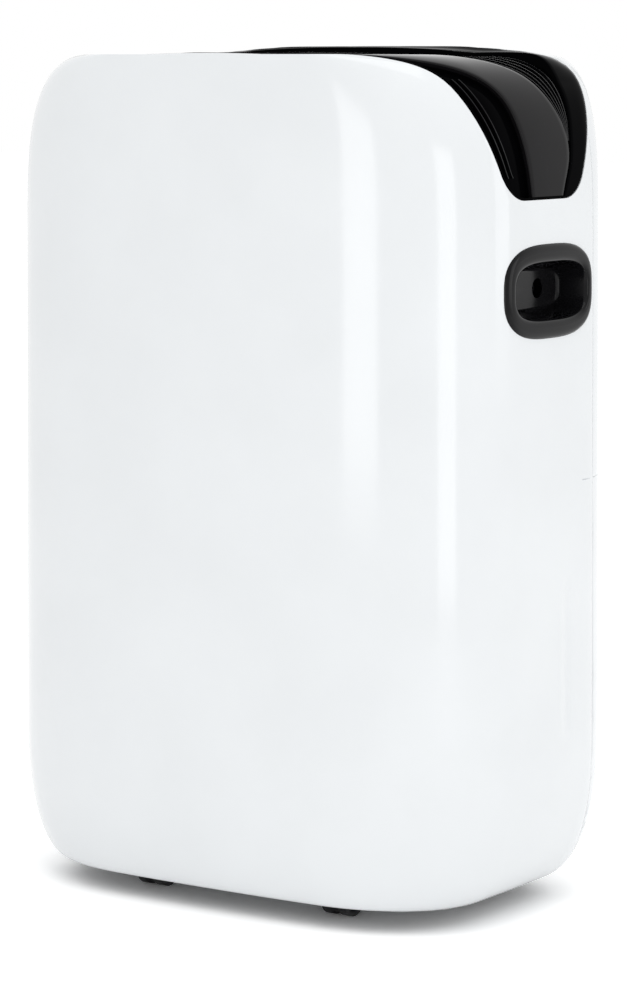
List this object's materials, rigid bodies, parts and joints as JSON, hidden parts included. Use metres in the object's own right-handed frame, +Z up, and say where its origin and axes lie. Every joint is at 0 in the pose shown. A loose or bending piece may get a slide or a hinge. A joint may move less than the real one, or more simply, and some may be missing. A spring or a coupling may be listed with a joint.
{
  "type": "dehumidifier",
  "caption": "Upright room dehumidifier with rounded white shell, black saddle top, side grip pockets, rear water tank and hidden castors.",
  "frame": {"origin": "on the floor, under the middle of the cabinet", "axes": "+Z up, front towards -Y, +X to the right seen from the front"},
  "size_m": [0.401, 0.2492, 0.5843],
  "materials": {
    "white_gloss": "high-gloss white moulded shell",
    "black_gloss": "piano black moulding",
    "smoke_gloss": "smoked dark grey gloss",
    "key_gloss": "gloss dark key",
    "smoke_glass": "smoked display lens",
    "board_green": "solder mask",
    "screw_steel": "zinc plated",
    "black_matte": "fine texture",
    "white_matte": "fine texture",
    "grey_matte": "fine texture",
    "mesh_fabric": "woven filter mesh",
    "black_rubber": "soft rubber",
    "tank_clear": "milky moulding",
    "float_foam": "closed-cell foam",
    "black_paint": "baked enamel",
    "coil_aluminium": "thin fin stock",
    "copper": "drawn copper tube",
    "motor_steel": "pressed steel",
    "castor_grey": "hard nylon"
  },
  "bodies": {
    "cabinet": {"front_cover": "white_gloss", "rear_cover": "white_gloss", "rear_skirt": "white_gloss", "saddle": "black_gloss", "top_band": "smoke_gloss", "front_louvre": "black_gloss", "rear_louvre": "black_gloss", "display_window": "smoke_glass", "control_board": "board_green", "handle_left": "black_gloss", "handle_right": "black_gloss", "handle_screws": "screw_steel", "shell_screws": "screw_steel", "cord_gland": "black_matte", "humidity_sensor": "black_matte", "base_pan": "grey_matte", "castor_sockets": "grey_matte", "chassis": "grey_matte", "drip_tray": "grey_matte", "tank_switch": "black_matte", "compressor": "black_paint", "compressor_grommets": "black_rubber", "compressor_nuts": "screw_steel", "terminal_cover": "black_matte", "accumulator": "black_paint", "evaporator_fins": "coil_aluminium", "evaporator_tubes": "copper", "condenser_fins": "coil_aluminium", "condenser_tubes": "copper", "discharge_pipe": "copper", "suction_pipe": "copper", "filter_drier": "copper", "fan_scroll": "black_matte", "motor_bracket": "screw_steel", "fan_motor": "motor_steel", "board_box": "white_matte", "main_board": "board_green"},
    "fan": {"impeller": "grey_matte", "fan_shaft": "motor_steel"},
    "tank": {"water_tank": "white_gloss", "tank_lid": "tank_clear"},
    "float": {"tank_float": "float_foam"},
    "intake_filter": {"intake_grille": "white_matte", "filter_frame": "grey_matte", "filter_mesh": "mesh_fabric"},
    "drain_plug": {"drain_cap": "black_rubber"},
    "castor_front_left": {"castor_fork_front_left": "black_matte"},
    "wheels_front_left": {"castor_wheels_front_left": "castor_grey"},
    "castor_front_right": {"castor_fork_front_right": "black_matte"},
    "wheels_front_right": {"castor_wheels_front_right": "castor_grey"},
    "castor_rear_left": {"castor_fork_rear_left": "black_matte"},
    "wheels_rear_left": {"castor_wheels_rear_left": "castor_grey"},
    "castor_rear_right": {"castor_fork_rear_right": "black_matte"},
    "wheels_rear_right": {"castor_wheels_rear_right": "castor_grey"},
    "key_power": {"key_power": "key_gloss"},
    "key_mode": {"key_mode": "key_gloss"},
    "key_fan": {"key_fan": "key_gloss"},
    "key_timer": {"key_timer": "key_gloss"},
    "key_humidity": {"key_humidity": "key_gloss"}
  },
  "joints": [
    {"name": "fan_spin", "type": "hinge", "parent": "cabinet", "child": "fan", "pos_m": [-0.01, 0, 0.396], "axis": [0, 1, 0], "continuous": true},
    {"name": "tank_slide", "type": "slide", "parent": "cabinet", "child": "tank", "axis": [0, 1, 0], "range_m": [0, 0.16]},
    {"name": "float_swing", "type": "hinge", "parent": "tank", "child": "float", "pos_m": [0.11, 0.026, 0.262], "axis": [1, 0, 0], "range_deg": [0, 16]},
    {"name": "filter_slide", "type": "slide", "parent": "cabinet", "child": "intake_filter", "axis": [0, 1, 0], "range_m": [0, 0.06]},
    {"name": "drain_plug_pull", "type": "slide", "parent": "cabinet", "child": "drain_plug", "axis": [0, 1, 0], "range_m": [0, 0.02]},
    {"name": "swivel_front_left", "type": "hinge", "parent": "cabinet", "child": "castor_front_left", "pos_m": [-0.078, -0.08, 0.03], "axis": [0, 0, 1], "continuous": true},
    {"name": "roll_front_left", "type": "hinge", "parent": "castor_front_left", "child": "wheels_front_left", "pos_m": [-0.078, -0.071, 0.012], "axis": [1, 0, 0], "continuous": true},
    {"name": "swivel_front_right", "type": "hinge", "parent": "cabinet", "child": "castor_front_right", "pos_m": [0.078, -0.08, 0.03], "axis": [0, 0, 1], "continuous": true},
    {"name": "roll_front_right", "type": "hinge", "parent": "castor_front_right", "child": "wheels_front_right", "pos_m": [0.078, -0.071, 0.012], "axis": [1, 0, 0], "continuous": true},
    {"name": "swivel_rear_left", "type": "hinge", "parent": "cabinet", "child": "castor_rear_left", "pos_m": [-0.095, 0.042, 0.03], "axis": [0, 0, 1], "continuous": true},
    {"name": "roll_rear_left", "type": "hinge", "parent": "castor_rear_left", "child": "wheels_rear_left", "pos_m": [-0.095, 0.051, 0.012], "axis": [1, 0, 0], "continuous": true},
    {"name": "swivel_rear_right", "type": "hinge", "parent": "cabinet", "child": "castor_rear_right", "pos_m": [0.095, 0.042, 0.03], "axis": [0, 0, 1], "continuous": true},
    {"name": "roll_rear_right", "type": "hinge", "parent": "castor_rear_right", "child": "wheels_rear_right", "pos_m": [0.095, 0.051, 0.012], "axis": [1, 0, 0], "continuous": true},
    {"name": "press_power", "type": "slide", "parent": "cabinet", "child": "key_power", "axis": [0, 0, -1], "range_m": [0, 0.0008], "stiffness_N_per_m": 1500},
    {"name": "press_mode", "type": "slide", "parent": "cabinet", "child": "key_mode", "axis": [0, 0, -1], "range_m": [0, 0.0008], "stiffness_N_per_m": 1500},
    {"name": "press_fan", "type": "slide", "parent": "cabinet", "child": "key_fan", "axis": [0, 0, -1], "range_m": [0, 0.0008], "stiffness_N_per_m": 1500},
    {"name": "press_timer", "type": "slide", "parent": "cabinet", "child": "key_timer", "axis": [0, 0, -1], "range_m": [0, 0.0008], "stiffness_N_per_m": 1500},
    {"name": "press_humidity", "type": "slide", "parent": "cabinet", "child": "key_humidity", "axis": [0, 0, -1], "range_m": [0, 0.0008], "stiffness_N_per_m": 1500}
  ]
}
